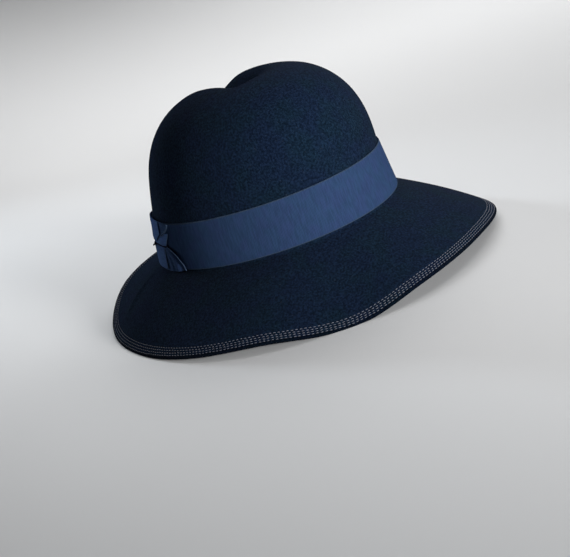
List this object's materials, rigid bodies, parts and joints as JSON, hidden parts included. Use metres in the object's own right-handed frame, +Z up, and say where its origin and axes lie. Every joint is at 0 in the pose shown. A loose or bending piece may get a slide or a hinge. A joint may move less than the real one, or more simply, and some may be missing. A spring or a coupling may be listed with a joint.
{
  "type": "felt fedora",
  "caption": "Navy felt fedora: hollow dome crown with a top crease, turned-down brim, grosgrain band and a flat side bow.",
  "frame": {"origin": "middle of the bounding box's base, on the surface that the brim rests on", "axes": "+Z up, -Y to the front of the hat, -X to the wearer's right, where the bow is"},
  "size_m": [0.2782, 0.3154, 0.1482],
  "materials": {
    "felt": "brushed short nap",
    "grosgrain": "fine upright ribs",
    "tie": "matte"
  },
  "bodies": {
    "root": {"felt_body": "felt", "hatband": "grosgrain", "bow_upper_fan": "grosgrain", "bow_lower_fan": "grosgrain", "bow_tie": "tie"}
  },
  "joints": []
}
